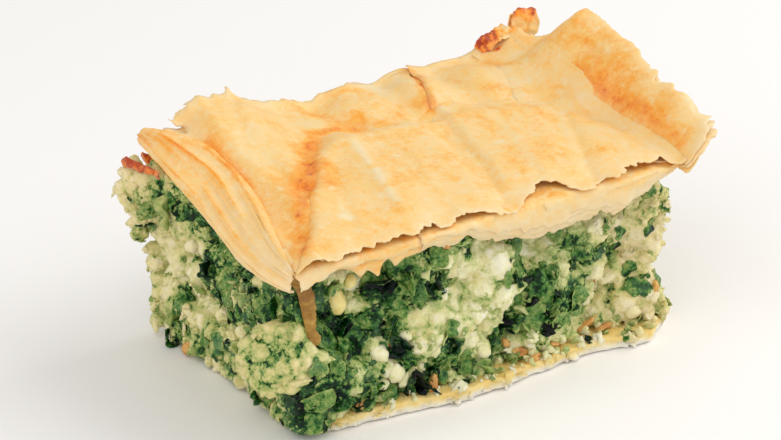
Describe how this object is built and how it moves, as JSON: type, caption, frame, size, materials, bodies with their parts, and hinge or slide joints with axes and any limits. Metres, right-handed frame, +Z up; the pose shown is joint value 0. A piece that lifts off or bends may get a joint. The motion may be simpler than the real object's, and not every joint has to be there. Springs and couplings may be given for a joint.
{
  "type": "spinach pie piece",
  "caption": "Cut block of spinach and cheese pie: a ruffled golden top crust over a thick lumpy green filling and a thin soaked bottom pastry.",
  "frame": {"origin": "middle of the footprint of the whole piece, on the surface that it stands on", "axes": "+X along the long cut side towards the end where the crust curls up, +Y away from the long cut face that shows, +Z up"},
  "size_m": [0.1313, 0.0854, 0.0684],
  "materials": {
    "bottom_pastry": "soaked pastry, slightly oily",
    "filling": "moist chopped leaves and curd",
    "top_pastry": "dry baked pastry"
  },
  "bodies": {
    "root": {"bottom_pastry": "bottom_pastry", "filling": "filling", "top_pastry": "top_pastry"}
  },
  "joints": []
}
